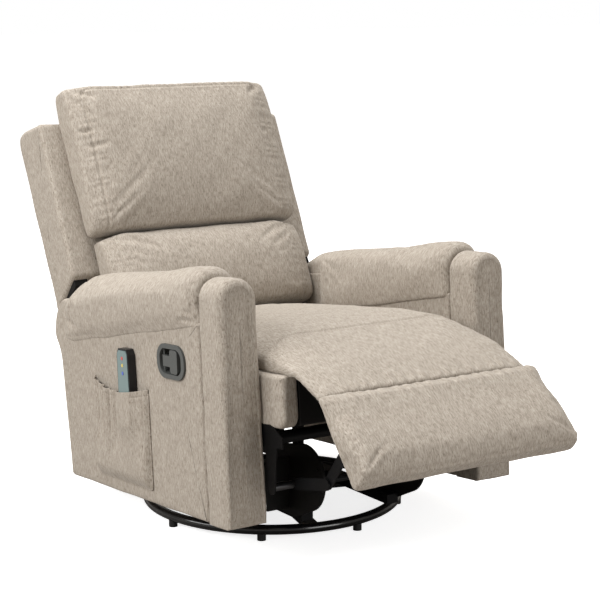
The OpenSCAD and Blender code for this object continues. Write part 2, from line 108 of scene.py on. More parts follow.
def filleted(corners, radius, count):
    # A closed outline with each corner replaced by a quadratic curve that starts and ends
    # one radius away from it, with count points spread evenly along its length.
    c = np.array(corners, float)
    r = np.broadcast_to(np.array(radius, float), len(c))[:, None]
    before, after = np.roll(c, 1, axis=0) - c, np.roll(c, -1, axis=0) - c
    lengthBefore = np.linalg.norm(before, axis=1)[:, None]
    lengthAfter = np.linalg.norm(after, axis=1)[:, None]
    a = c + before / lengthBefore * np.minimum(r, 0.48 * lengthBefore)
    b = c + after / lengthAfter * np.minimum(r, 0.48 * lengthAfter)
    t = np.linspace(0, 1, 12)[None, :, None]
    curve = (1 - t) ** 2 * a[:, None] + 2 * t * (1 - t) * c[:, None] + t ** 2 * b[:, None]
    return evenly(curve.reshape(-1, c.shape[1]), count, closed=True)


def evenly(points, count, closed=False):
    # the same curve with count points at equal distances along it
    points = np.vstack([points, points[:1]]) if closed else np.asarray(points, float)
    along = np.concatenate([[0], np.cumsum(np.linalg.norm(np.diff(points, axis=0), axis=1))])
    at = np.linspace(0, along[-1], count, endpoint=not closed)
    return np.stack([np.interp(at, along, points[:, k]) for k in range(points.shape[1])], axis=1)


def inset(outline, distance):
    # a closed outline moved inwards along its own normals
    step = np.roll(outline, -1, axis=0) - np.roll(outline, 1, axis=0)
    normal = np.stack([-step[:, 1], step[:, 0]], axis=1)
    normal /= np.linalg.norm(normal, axis=1)[:, None]
    area = np.sum(outline[:, 0] * np.roll(outline[:, 1], -1) - np.roll(outline[:, 0], -1) * outline[:, 1])
    return outline + normal * distance * np.sign(area)


def smoothStep(t):
    t = np.clip(t, 0, 1)
    return t * t * (3 - 2 * t)


def loftMesh(name, rings):
    # A closed skin over a stack of closed rings, rings[i, j] being point j of ring i.
    # Each end ring is closed by a fan to its own middle.
    rows, cols = rings.shape[:2]
    points = np.vstack([rings.reshape(-1, 3), rings[0].mean(axis=0), rings[-1].mean(axis=0)])
    i, j = np.meshgrid(np.arange(rows - 1), np.arange(cols), indexing="ij")
    k = (j + 1) % cols
    quads = np.stack([i * cols + j, i * cols + k, (i + 1) * cols + k, (i + 1) * cols + j], axis=-1)
    quads = quads.reshape(-1, 4)
    j = np.arange(cols)
    k = (j + 1) % cols
    first, last = rows * cols, rows * cols + 1
    fans = np.vstack([
        np.stack([k, j, np.full(cols, first)], axis=1),
        np.stack([(rows - 1) * cols + j, (rows - 1) * cols + k, np.full(cols, last)], axis=1)])
    a, b, c = points[fans[:, 0]], points[fans[:, 1]], points[fans[:, 2]]
    volume = np.sum(a * np.cross(b, c))
    for pair in ((0, 1, 2), (0, 2, 3)):
        a, b, c = (points[quads[:, n]] for n in pair)
        volume += np.sum(a * np.cross(b, c))
    if volume < 0:
        quads, fans = quads[:, ::-1], fans[:, ::-1]
    return meshFrom(name, points, quads, fans)


def meshFrom(name, points, quads, triangles=np.zeros((0, 3), int)):
    mesh = bpy.data.meshes.new(name)
    loops = np.concatenate([quads.ravel(), triangles.ravel()]).astype(np.int32)
    sizes = np.concatenate([np.full(len(quads), 4), np.full(len(triangles), 3)])
    mesh.vertices.add(len(points))
    mesh.vertices.foreach_set("co", np.asarray(points, np.float32).ravel())
    mesh.loops.add(len(loops))
    mesh.loops.foreach_set("vertex_index", loops)
    mesh.polygons.add(len(sizes))
    mesh.polygons.foreach_set("loop_start", np.concatenate([[0], np.cumsum(sizes)[:-1]]).astype(np.int32))
    mesh.update(calc_edges=True)
    mesh.validate()
    return mesh


def addPiece(name, mesh, material):
    piece = bpy.data.objects.new(name, mesh)
    scene.collection.objects.link(piece)
    mesh.materials.clear()
    mesh.materials.append(material)
    mesh.polygons.foreach_set("use_smooth", np.ones(len(mesh.polygons), bool))
    return piece


def settle(piece):
    # applies every modifier on the piece
    graph = bpy.context.evaluated_depsgraph_get()
    done = bpy.data.meshes.new_from_object(piece.evaluated_get(graph))
    piece.modifiers.clear()
    piece.data = done
    done.polygons.foreach_set("use_smooth", np.ones(len(done.polygons), bool))
    return piece


def movePoints(piece, points):
    piece.data.vertices.foreach_set("co", points.astype(np.float32).ravel())
    piece.data.update()


def nearLine(points, line):
    # for each point, its distance from a polyline and how far along the polyline that is
    line = np.asarray(line, float)
    best, along, start = np.full(len(points), np.inf), np.zeros(len(points)), 0.0
    for a, b in zip(line[:-1], line[1:]):
        step = b - a
        size = np.linalg.norm(step)
        t = np.clip((points - a) @ step / max(size * size, 1e-12), 0, 1)
        away = np.linalg.norm(points - a - t[:, None] * step, axis=1)
        along = np.where(away < best, start + t * size, along)
        best = np.minimum(best, away)
        start += size
    return best, along, start


def wander(seed, points, pitch, count=6):
    # smooth noise: a sum of sine waves in random directions, about one unit high
    dice = np.random.default_rng(seed)
    ways = dice.normal(size=(count, points.shape[1]))
    ways /= np.linalg.norm(ways, axis=1)[:, None]
    speeds = 2 * np.pi / (pitch * dice.uniform(0.7, 1.6, count))
    phases = dice.uniform(0, 2 * np.pi, count)
    return np.sin(points @ (ways * speeds[:, None]).T + phases).sum(axis=1) / math.sqrt(count)


def pressSeam(piece, place, line, depth, width, plane=(0, 2), where=None, pucker=0.0, pitch=0.016,
              spread=0.02, taper=False, seed=1):
    # Pulls the surface in along a seam by a bell curve of that depth and width, with a low ridge
    # on both sides and short puckers that fade away over the spread. The line is drawn in one
    # plane of the place, and where picks the points that it may move.
    points = vertexArray(piece.data)
    normals = vertexArray(piece.data, "normal")
    local = toLocal(place, points)
    away, along, length = nearLine(local[:, list(plane)], line)
    near = away < 6 * max(width, spread)
    if where is not None:
        near &= where(local)
    away, along, at = away[near], along[near], np.flatnonzero(near)
    pull = depth * np.exp(-(away / width) ** 2)
    lift = 0.25 * depth * np.exp(-((away - 2.3 * width) / (1.2 * width)) ** 2)
    fade = np.sin(np.pi * np.clip(along / length, 0, 1)) ** 0.6 if taper else 1.0
    wave = np.sin(2 * np.pi * along / pitch + 1.6 * wander(seed, along[:, None], 3 * pitch))
    puckers = pucker * wave * np.exp(-(away / spread) ** 2) * (1 - np.exp(-(away / width) ** 2))
    points[at] += normals[at] * ((lift - pull) * fade + puckers)[:, None]
    movePoints(piece, points)


def softLumps(piece, height, pitch, seed):
    points = vertexArray(piece.data)
    normals = vertexArray(piece.data, "normal")
    movePoints(piece, points + normals * (height * wander(seed, points, pitch, 9))[:, None])


def puffUp(piece, place, voxel, cap, hold, pressure=4.0, shrink=0.0):
    # Evens the mesh with a voxel remesh, blows it up as cloth for 20 frames with the points
    # that hold picks pinned, lets no point move further than cap, then subdivides it once.
    even = piece.modifiers.new("even", "REMESH")
    even.mode = "VOXEL"
    even.voxel_size = voxel
    settle(piece)
    start = vertexArray(piece.data)
    pins = piece.vertex_groups.new(name="pins")
    pins.add(np.flatnonzero(hold(toLocal(place, start))).tolist(), 1.0, "REPLACE")
    cloth = piece.modifiers.new("cloth", "CLOTH")
    cloth.settings.use_pressure = True
    cloth.settings.uniform_pressure_force = pressure
    cloth.settings.effector_weights.gravity = 0
    cloth.settings.shrink_min = shrink
    cloth.settings.vertex_group_mass = "pins"
    cloth.point_cache.frame_start = 1
    cloth.point_cache.frame_end = 20
    for step in range(1, 21):
        scene.frame_set(step)
    blown = piece.evaluated_get(bpy.context.evaluated_depsgraph_get())
    moved = vertexArray(blown.data) - start
    piece.modifiers.clear()
    piece.vertex_groups.clear()
    size = np.linalg.norm(moved, axis=1)[:, None]
    movePoints(piece, start + moved * np.minimum(1, cap / np.maximum(size, 1e-9)))
    scene.frame_set(1)
    most, typical = size.max() * 1000, np.median(size) * 1000
    print(f"  {piece.name}: {len(start)} points, moved up to {most:.0f} mm, typically {typical:.1f} mm")
    finer = piece.modifiers.new("finer", "SUBSURF")
    finer.levels = finer.render_levels = 1
    return settle(piece)


def faceLoops(mesh):
    # each face's normal, how many corners it has, and the vertex at every corner
    normals = np.zeros(len(mesh.polygons) * 3, np.float32)
    mesh.polygons.foreach_get("normal", normals)
    totals = np.zeros(len(mesh.polygons), np.int32)
    mesh.polygons.foreach_get("loop_total", totals)
    vertexOf = np.zeros(len(mesh.loops), np.int32)
    mesh.loops.foreach_get("vertex_index", vertexOf)
    return normals.reshape(-1, 3).astype(float), totals, vertexOf


def mapCloth(piece, place, main, capAxis, limit=0.72, capTurned=False):
    # The cloth's own map in metres, across and along the yarn. main(local points) gives it for
    # the wrapped faces; faces that look along capAxis are mapped straight through, and capTurned
    # lays the yarn the other way on them.
    mesh = piece.data
    local = toLocal(place, vertexArray(mesh))
    wrapped = main(local)
    others = [axis for axis in range(3) if axis != capAxis]
    flat = local[:, others[::-1] if capTurned else others]
    normals, totals, vertexOf = faceLoops(mesh)
    turned = toLocal({"y": 0, "z": 0, "turn": place["turn"]}, normals)
    isCap = np.abs(turned[:, capAxis]) > limit
    uv = np.where(np.repeat(isCap, totals)[:, None], flat[vertexOf], wrapped[vertexOf])
    layer = mesh.uv_layers.new(name="cloth")
    layer.uv.foreach_set("vector", uv.astype(np.float32).ravel())


def wrappedRound(profile, plane=(1, 2), across=0):
    # a map that runs across along one axis and along in the length of a profile round it
    loop = np.vstack([profile, profile[:1]])
    along = np.concatenate([[0], np.cumsum(np.linalg.norm(np.diff(loop, axis=0), axis=1))])[:-1]

    def main(local):
        parts = []
        for block in np.array_split(local, max(1, len(local) // 4000)):
            away = sum((block[:, None, axis] - profile[None, :, k]) ** 2 for k, axis in enumerate(plane))
            parts.append(along[away.argmin(axis=1)])
        return np.stack([local[:, across], np.concatenate(parts)], axis=1)
    return main


def rollRings(profile, halfWidth, edge, shape=None, stations=60, edgeSteps=8):
    # A (y, z) profile carried along x. Over the last edge of its width it draws in along a
    # quarter circle, and shape(x, profile) may change it at each station.
    turn = np.linspace(0, np.pi / 2, edgeSteps, endpoint=False)
    ends = halfWidth - edge + edge * np.sin(turn)
    draws = edge * (1 - np.cos(turn))
    middle = np.linspace(-(halfWidth - edge), halfWidth - edge, stations)
    xs = np.concatenate([[-halfWidth], -ends[:0:-1], middle, ends[1:], [halfWidth]])
    ins = np.concatenate([[edge], draws[:0:-1], np.zeros(stations), draws[1:], [edge]])
    rings = []
    for x, draw in zip(xs, ins):
        ring = inset(profile, draw) if draw > 0 else profile
        if shape is not None:
            ring = shape(x, ring)
        rings.append(np.column_stack([np.full(len(ring), x), ring]))
    core = rings[-1][:, 1:]
    for share in (0.75, 0.5, 0.25, 0.08):
        small = core.mean(axis=0) + (core - core.mean(axis=0)) * share
        rings.append(np.column_stack([np.full(len(small), halfWidth), small]))
        rings.insert(0, np.column_stack([np.full(len(small), -halfWidth), small]))
    return np.array(rings)


# ---------- camera, floor and light ----------

camera = {
    "target": (0.0994, 0.076, 0.4526),
    "azimuth": -33.4,
    "elevation": 10.7,
    "distance": 4.1149,
    "lens": 102.8,
    "shift": (-0.0115, 0.0213),
}


def makeCamera():
    data = bpy.data.cameras.new("camera")
    data.lens = camera["lens"]
    data.shift_x, data.shift_y = camera["shift"]
    data.clip_end = 200
    obj = bpy.data.objects.new("camera", data)
    scene.collection.objects.link(obj)
    azimuth, elevation = math.radians(camera["azimuth"]), math.radians(camera["elevation"])
    level = math.cos(elevation)
    back = np.array([math.sin(azimuth) * level, -math.cos(azimuth) * level, math.sin(elevation)])
    obj.location = np.array(camera["target"]) + back * camera["distance"]
    obj.rotation_euler = (math.pi / 2 - elevation, 0, azimuth)
    scene.camera = obj


studio = {
    "floor": (0.80, 0.80, 0.80),
    "bounce": (0.36, 0.34, 0.32),    # what the floor sends back to the chair
    "floorGlow": 0.80,        # seen by the camera only
    "sky": 0.36,
    "skyTint": (1.0, 0.945, 0.875),
    "lamps": {
        # name: (place, aim, size, watts)
        "leftSoftbox": ((-3.0, 0.15, 2.1), (0, 0.05, 0.45), 2.2, 106),
        "frontSoftbox": ((0.9, -4.2, 1.3), (0, 0, 0.4), 2.2, 66),
        "overheadSoftbox": ((0.0, 0.9, 5.0), (0, -0.05, 0.3), 3.0, 255),
    },
}


def makeStudio():
    floor = bpy.data.meshes.new("floor")
    size = 40.0
    corners = [(-size, -size, 0), (size, -size, 0), (size, size, 0), (-size, size, 0)]
    floor.from_pydata(corners, [], [(0, 1, 2, 3)])
    paint = bpy.data.materials.new("paleFloor")
    paint.use_nodes = True
    shader = paint.node_tree.nodes["Principled BSDF"]
    shader.inputs["Roughness"].default_value = 0.8
    shader.inputs["Specular IOR Level"].default_value = 0.2
    shader.inputs["Emission Color"].default_value = (1, 1, 1, 1)
    tree = paint.node_tree
    seenByCamera = tree.nodes.new("ShaderNodeLightPath").outputs["Is Camera Ray"]
    glow = mathNode(tree, "MULTIPLY", seenByCamera, studio["floorGlow"])
    tree.links.new(glow, shader.inputs["Emission Strength"])
    shown = mixNode(tree, seenByCamera, studio["bounce"], studio["floor"])
    tree.links.new(shown, shader.inputs["Base Color"])
    floor.materials.append(paint)
    plane = bpy.data.objects.new("floor", floor)
    scene.collection.objects.link(plane)
    world = bpy.data.worlds.new("studio")
    scene.world = world
    world.use_nodes = True
    nodes, links = world.node_tree.nodes, world.node_tree.links
    nodes.clear()
    seen, lit = nodes.new("ShaderNodeBackground"), nodes.new("ShaderNodeBackground")
    seen.inputs["Color"].default_value = (1, 1, 1, 1)
    lit.inputs["Color"].default_value = (*studio["skyTint"], 1)
    seen.inputs["Strength"].default_value = 1.0
    lit.inputs["Strength"].default_value = studio["sky"]
    path, mix = nodes.new("ShaderNodeLightPath"), nodes.new("ShaderNodeMixShader")
    out = nodes.new("ShaderNodeOutputWorld")
    links.new(path.outputs["Is Camera Ray"], mix.inputs["Fac"])
    links.new(lit.outputs[0], mix.inputs[1])
    links.new(seen.outputs[0], mix.inputs[2])
    links.new(mix.outputs[0], out.inputs["Surface"])
    for name, (at, aim, size, watts) in studio["lamps"].items():
        lamp = bpy.data.lights.new(name, "AREA")
        lamp.size = size
        lamp.energy = watts
        obj = bpy.data.objects.new(name, lamp)
        scene.collection.objects.link(obj)
        way = np.array(aim, float) - np.array(at, float)
        obj.location = at
        tilt = math.atan2(math.hypot(way[0], way[1]), -way[2])
        obj.rotation_euler = (tilt, 0, math.atan2(way[1], way[0]) - math.pi / 2)
    scene.view_settings.view_transform = "Standard"


# ---------- materials ----------

def nodeGroup(name, inputs, outputs):
    tree = bpy.data.node_groups.new(name, "ShaderNodeTree")
    for label, kind, value in inputs:
        socket = tree.interface.new_socket(name=label, in_out="INPUT", socket_type=kind)
        if value is not None:
            socket.default_value = value
    for label, kind in outputs:
        tree.interface.new_socket(name=label, in_out="OUTPUT", socket_type=kind)
    return tree, tree.nodes.new("NodeGroupInput"), tree.nodes.new("NodeGroupOutput")


def mathNode(tree, operation, a, b=None, clamp=False):
    node = tree.nodes.new("ShaderNodeMath")
    node.operation = operation
    node.use_clamp = clamp
    for socket, value in zip(node.inputs, (a, b)):
        if isinstance(value, (int, float)):
            socket.default_value = value
        elif value is not None:
            tree.links.new(value, socket)
    return node.outputs[0]


def noiseNode(tree, vector, scale, detail=2.0, rough=0.5):
    node = tree.nodes.new("ShaderNodeTexNoise")
    node.inputs["Scale"].default_value = scale
    node.inputs["Detail"].default_value = detail
    node.inputs["Roughness"].default_value = rough
    tree.links.new(vector, node.inputs["Vector"])
    return node.outputs["Fac"]


def rampNode(tree, value, low, high):
    node = tree.nodes.new("ShaderNodeMapRange")
    node.interpolation_type = "SMOOTHSTEP"
    node.inputs["From Min"].default_value = low
    node.inputs["From Max"].default_value = high
    tree.links.new(value, node.inputs["Value"])
    return node.outputs["Result"]


def mixNode(tree, share, a, b):
    node = tree.nodes.new("ShaderNodeMix")
    node.data_type = "RGBA"
    sockets = [node.inputs[0], node.inputs[6], node.inputs[7]]
    for socket, value in zip(sockets, (share, a, b)):
        if isinstance(value, (int, float)):
            socket.default_value = value
        elif isinstance(value, tuple):
            socket.default_value = (*value, 1)
        else:
            tree.links.new(value, socket)
    return node.outputs[2]


def stretched(tree, vector, across, along):
    node = tree.nodes.new("ShaderNodeMapping")
    node.inputs["Scale"].default_value = (1 / across, 1 / along, 1)
    tree.links.new(vector, node.inputs["Vector"])
    return node.outputs["Vector"]


chenille = {
    "light": (0.450, 0.404, 0.348),
    "middle": (0.232, 0.196, 0.158),
    "dark": (0.115, 0.084, 0.058),
    "yarn": 0.00125,          # width of one yarn, in metres
    "sheen": 0.16,
    "bump": 0.70,
}


def chenilleGroup():
    # Heathered yarn: long fine streaks, thicker slubs, short dark specks and faint cloudy patches.
    tree, inside, outside = nodeGroup(
        "chenilleYarn",
        [("Cloth", "NodeSocketVector", None), ("Light", "NodeSocketColor", (*chenille["light"], 1)),
         ("Middle", "NodeSocketColor", (*chenille["middle"], 1)), ("Dark", "NodeSocketColor", (*chenille["dark"], 1)),
         ("Specks", "NodeSocketFloat", 0.55)],
        [("Color", "NodeSocketColor"), ("Height", "NodeSocketFloat"), ("Roughness", "NodeSocketFloat")])
    cloth, yarn = inside.outputs["Cloth"], chenille["yarn"]
    streak = noiseNode(tree, stretched(tree, cloth, yarn, 8 * yarn), 1.0, 3.0, 0.6)
    slub = noiseNode(tree, stretched(tree, cloth, 2.6 * yarn, 12 * yarn), 1.0, 2.0)
    speck = rampNode(tree, noiseNode(tree, stretched(tree, cloth, 1.7 * yarn, 6 * yarn), 1.0, 1.5), 0.57, 0.74)
    weft = noiseNode(tree, stretched(tree, cloth, 5 * yarn, 0.8 * yarn), 1.0, 1.0)
    patch = noiseNode(tree, stretched(tree, cloth, 0.016, 0.034), 1.0, 3.0)
    tone = mathNode(tree, "ADD", mathNode(tree, "MULTIPLY", rampNode(tree, streak, 0.34, 0.66), 0.44),
                    mathNode(tree, "MULTIPLY", rampNode(tree, slub, 0.38, 0.62), 0.38))
    clouds = mathNode(tree, "MULTIPLY", rampNode(tree, patch, 0.25, 0.75), 0.22)
    tone = mathNode(tree, "ADD", tone, clouds, clamp=True)
    colour = mixNode(tree, tone, inside.outputs["Middle"], inside.outputs["Light"])
    flecks = mathNode(tree, "MULTIPLY", speck, inside.outputs["Specks"])
    colour = mixNode(tree, flecks, colour, inside.outputs["Dark"])
    height = mathNode(tree, "ADD", mathNode(tree, "MULTIPLY", streak, 0.55), mathNode(tree, "MULTIPLY", weft, 0.35))
    height = mathNode(tree, "ADD", height, mathNode(tree, "MULTIPLY", slub, 0.5))
    height = mathNode(tree, "SUBTRACT", height, mathNode(tree, "MULTIPLY", speck, 0.25))
    rough = mathNode(tree, "ADD", mathNode(tree, "MULTIPLY", tone, 0.12), 0.80)
    tree.links.new(colour, outside.inputs["Color"])
    tree.links.new(height, outside.inputs["Height"])
    tree.links.new(rough, outside.inputs["Roughness"])
    return tree


def newMaterial(name):
    material = bpy.data.materials.new(name)
    material.use_nodes = True
    return material, material.node_tree, material.node_tree.nodes["Principled BSDF"]


def bumpInto(tree, height, shader, strength, distance):
    bump = tree.nodes.new("ShaderNodeBump")
    bump.inputs["Strength"].default_value = strength
    bump.inputs["Distance"].default_value = distance
    tree.links.new(height, bump.inputs["Height"])
    tree.links.new(bump.outputs["Normal"], shader.inputs["Normal"])


# a factor below 1 darkens every colour of the cloth, to paint in shade
def clothMaterial(name, group, paintedShadeFactor=1.0, specks=0.66):
    material, tree, shader = newMaterial(name)
    uv = tree.nodes.new("ShaderNodeUVMap")
    uv.uv_map = "cloth"
    yarn = tree.nodes.new("ShaderNodeGroup")
    yarn.node_tree = group
    tree.links.new(uv.outputs["UV"], yarn.inputs["Cloth"])
    for label, colour in (("Light", "light"), ("Middle", "middle"), ("Dark", "dark")):
        yarn.inputs[label].default_value = (*[paintedShadeFactor * c for c in chenille[colour]], 1)
    yarn.inputs["Specks"].default_value = specks
    tree.links.new(yarn.outputs["Color"], shader.inputs["Base Color"])
    tree.links.new(yarn.outputs["Roughness"], shader.inputs["Roughness"])
    shader.inputs["Sheen Weight"].default_value = chenille["sheen"]
    shader.inputs["Sheen Roughness"].default_value = 0.45
    shader.inputs["Sheen Tint"].default_value = (1.0, 0.95, 0.88, 1)
    shader.inputs["Specular IOR Level"].default_value = 0.25
    bumpInto(tree, yarn.outputs["Height"], shader, chenille["bump"], 0.0011)
    return material


def grainGroup():
    # Fine moulded or powder-coat grain, with dust that settles on faces that look up.
    tree, inside, outside = nodeGroup(
        "fineGrain",
        [("Grain Scale", "NodeSocketFloat", 900.0), ("Wear", "NodeSocketFloat", 0.1),
         ("Base", "NodeSocketColor", (0.1, 0.1, 0.1, 1)), ("Roughness", "NodeSocketFloat", 0.4)],
        [("Color", "NodeSocketColor"), ("Roughness", "NodeSocketFloat"), ("Height", "NodeSocketFloat")])
    where = tree.nodes.new("ShaderNodeTexCoord").outputs["Object"]
    grain = tree.nodes.new("ShaderNodeTexNoise")
    grain.inputs["Detail"].default_value = 2.0
    tree.links.new(where, grain.inputs["Vector"])
    tree.links.new(inside.outputs["Grain Scale"], grain.inputs["Scale"])
    smear = noiseNode(tree, where, 22.0, 4.0, 0.65)
    scuff = mathNode(tree, "MULTIPLY", rampNode(tree, smear, 0.52, 0.74), inside.outputs["Wear"])
    normal = tree.nodes.new("ShaderNodeNewGeometry").outputs["Normal"]
    parts = tree.nodes.new("ShaderNodeSeparateXYZ")
    tree.links.new(normal, parts.inputs[0])
    lying = mathNode(tree, "MULTIPLY", scuff, 0.6)
    dust = mathNode(tree, "MULTIPLY", rampNode(tree, parts.outputs["Z"], 0.5, 1.0), lying)
    colour = mixNode(tree, mathNode(tree, "ADD", mathNode(tree, "MULTIPLY", scuff, 0.35), dust, clamp=True),
                     inside.outputs["Base"], (0.20, 0.195, 0.19))
    rough = mathNode(tree, "ADD", inside.outputs["Roughness"], mathNode(tree, "MULTIPLY", scuff, 0.5))
    ripple = mathNode(tree, "MULTIPLY", mathNode(tree, "SUBTRACT", grain.outputs["Fac"], 0.5), 0.14)
    rough = mathNode(tree, "ADD", rough, ripple, clamp=True)
    tree.links.new(colour, outside.inputs["Color"])
    tree.links.new(rough, outside.inputs["Roughness"])
    tree.links.new(grain.outputs["Fac"], outside.inputs["Height"])
    return tree


hardFinishes = {
    # slot: (colour, roughness, metallic, coat, grain scale, wear, bump)
    "ring_black": ((0.004, 0.004, 0.0045), 0.20, 0.0, 0.35, 260, 0.02, 0.05),
    "frame_black": ((0.0045, 0.0045, 0.005), 0.42, 0.0, 0.0, 500, 0.04, 0.12),
    "link_black": ((0.005, 0.005, 0.0055), 0.38, 0.0, 0.0, 500, 0.05, 0.12),
    "cover_black": ((0.0075, 0.007, 0.0065), 0.50, 0.0, 0.0, 420, 0.03, 0.15),
    "zinc": ((0.11, 0.11, 0.115), 0.38, 1.0, 0.0, 320, 0.20, 0.12),
    "foot_rubber": ((0.016, 0.016, 0.016), 0.72, 0.0, 0.0, 900, 0.20, 0.30),
    "cable_jacket": ((0.012, 0.012, 0.012), 0.42, 0.0, 0.0, 700, 0.05, 0.15),
    "handle_grey": ((0.082, 0.086, 0.083), 0.50, 0.0, 0.0, 1500, 0.06, 0.25),
    "remote_black": ((0.014, 0.014, 0.015), 0.36, 0.0, 0.0, 1500, 0.05, 0.15),
    "remote_panel": ((0.150, 0.215, 0.215), 0.22, 0.0, 0.3, 1500, 0.02, 0.04),
    "button_red": ((0.52, 0.10, 0.09), 0.48, 0.0, 0.0, 1500, 0.02, 0.10),
    "button_yellow": ((0.55, 0.46, 0.14), 0.48, 0.0, 0.0, 1500, 0.02, 0.10),
    "button_blue": ((0.09, 0.13, 0.46), 0.48, 0.0, 0.0, 1500, 0.02, 0.10),
    "cup_black": ((0.006, 0.006, 0.006), 0.55, 0.0, 0.0, 1500, 0.0, 0.20),
}


def hardMaterial(name, group):
    colour, rough, metallic, coat, scale, wear, bump = hardFinishes[name]
    material, tree, shader = newMaterial(name)
    grain = tree.nodes.new("ShaderNodeGroup")
    grain.node_tree = group
    grain.inputs["Grain Scale"].default_value = scale
    grain.inputs["Wear"].default_value = wear
    grain.inputs["Base"].default_value = (*colour, 1)
    grain.inputs["Roughness"].default_value = rough
    tree.links.new(grain.outputs["Color"], shader.inputs["Base Color"])
    tree.links.new(grain.outputs["Roughness"], shader.inputs["Roughness"])
    shader.inputs["Metallic"].default_value = metallic
    shader.inputs["Coat Weight"].default_value = coat
    shader.inputs["Coat Roughness"].default_value = 0.12
    shader.inputs["Specular IOR Level"].default_value = 0.5 if coat or metallic else 0.14 if scale < 600 else 0.3
    bumpInto(tree, grain.outputs["Height"], shader, bump, 0.0004)
    return material


makeCamera()
makeStudio()
plyFinish = {"pale": (0.40, 0.30, 0.19), "dark": (0.27, 0.18, 0.10), "grainScale": 26.0}


def plyMaterial():
    # long wavy grain lines along the sheet, over a slow change of tone
    material, tree, shader = newMaterial("plywood")
    where = tree.nodes.new("ShaderNodeTexCoord").outputs["Object"]
    squeeze = tree.nodes.new("ShaderNodeMapping")
    squeeze.inputs["Scale"].default_value = (1, 6, 6)
    tree.links.new(where, squeeze.inputs["Vector"])
    grainLine = noiseNode(tree, squeeze.outputs["Vector"], plyFinish["grainScale"], 5.0, 0.65)
    colour = mixNode(tree, rampNode(tree, grainLine, 0.3, 0.7), plyFinish["dark"], plyFinish["pale"])
    tree.links.new(colour, shader.inputs["Base Color"])
    shader.inputs["Roughness"].default_value = 0.7
    bumpInto(tree, grainLine, shader, 0.2, 0.0006)
    return material


yarnGroup, grain = chenilleGroup(), grainGroup()
fabric = clothMaterial("chenille", yarnGroup)
# a darker copy of the same cloth for the back's lower skirt: painted shade where that panel sits in shadow
shadowedChenille = clothMaterial("chenilleShade", yarnGroup, 0.9)
hard = {name: hardMaterial(name, grain) for name in hardFinishes}
hard["plywood"] = plyMaterial()
print("camera, studio and materials made")


# ---------- cushions and covers ----------

def padPiece(name, place, profile, halfWidth, edge, material, shape=None, stations=60):
    rings = toRow(place, rollRings(profile, halfWidth, edge, shape, stations))
    return addPiece(name, loftMesh(name, rings), material)


def finishPad(piece, place, profile, capTurned=False):
    mapCloth(piece, place, wrappedRound(profile), 0, capTurned=capTurned)
    return piece


upperCushion = {
    # (y, z) square to the back: the front is towards -y and the top towards +z
    "profile": [(-0.046, 0.241), (-0.070, 0.262), (-0.080, 0.400), (-0.076, 0.560), (-0.056, 0.617),
                (0.018, 0.621), (0.028, 0.600), (0.028, 0.400), (0.014, 0.240)],
    "fillets": [0.014, 0.03, 0.06, 0.05, 0.018, 0.012, 0.012, 0.03, 0.010],
    "halfWidth": 0.2905, "edge": 0.012, "voxel": 0.006, "cap": 0.020,
    "seamInset": 0.038,
}


def makeUpperCushion():
    u = upperCushion
    hi = reach("upper_back_cushion", backPlace)[1]
    profile = filleted(u["profile"], u["fillets"], 260)

    def drawnIn(x, ring):
        # the front thins towards both ends, so the face is crowned between its boxed sides
        share = 1 - 0.36 * float(smoothStep((abs(x) - 0.215) / 0.075))
        y = np.where(ring[:, 0] < 0, ring[:, 0] * share, ring[:, 0])
        return np.stack([y, ring[:, 1]], axis=1)
    piece = padPiece("upperCushion", backPlace, profile, u["halfWidth"], u["edge"], fabric, drawnIn, stations=90)
    side = hi[0] - u["seamInset"]
    box = [(-side, 0.246), (-side, 0.588), (-side + 0.012, 0.604),
           (side - 0.012, 0.604), (side, 0.588), (side, 0.246)]

    def held(p):
        away = nearLine(p[:, [0, 2]], box)[0]
        rim = (np.abs(p[:, 0]) > u["halfWidth"] - 0.006) | (p[:, 2] > 0.612) | (p[:, 2] < 0.247)
        return (p[:, 1] > -0.004) | rim | (away < 0.004) & (p[:, 1] < -0.03)
    puffUp(piece, backPlace, u["voxel"], u["cap"], held)
    front = lambda p: p[:, 1] < -0.022
    pressSeam(piece, backPlace, box, 0.0030, 0.0028, where=front, pucker=0.0007, pitch=0.021, spread=0.020, seed=3)
    for k, (line, depth, width) in enumerate((
            ([(-0.268, 0.607), (-0.246, 0.596), (-0.222, 0.577)], 0.0050, 0.006),
            ([(-0.280, 0.590), (-0.262, 0.566), (-0.250, 0.535)], 0.0035, 0.006),
            ([(-0.282, 0.500), (-0.266, 0.494), (-0.246, 0.496)], 0.0040, 0.005),
            ([(-0.276, 0.462), (-0.250, 0.454), (-0.214, 0.457)], 0.0035, 0.006),
            ([(0.262, 0.604), (0.240, 0.588), (0.215, 0.572)], 0.0045, 0.007),
            ([(0.252, 0.470), (0.226, 0.466)], 0.0025, 0.006))):
        pressSeam(piece, backPlace, line, depth, width, where=front, taper=True, seed=10 + k)
    softLumps(piece, 0.0007, 0.09, 5)
    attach(finishPad(piece, backPlace, profile), "back")
    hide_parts("upper_back_cushion")


lowerCushion = {
    "profile": [(-0.050, 0.016), (-0.082, 0.030), (-0.088, 0.110), (-0.080, 0.190), (-0.056, 0.233),
                (0.016, 0.2385), (0.016, 0.016)],
    "fillets": [0.012, 0.02, 0.05, 0.04, 0.016, 0.004, 0.004],
    "halfWidth": 0.281, "edge": 0.010, "voxel": 0.006, "cap": 0.015, "seamInset": 0.036,
}


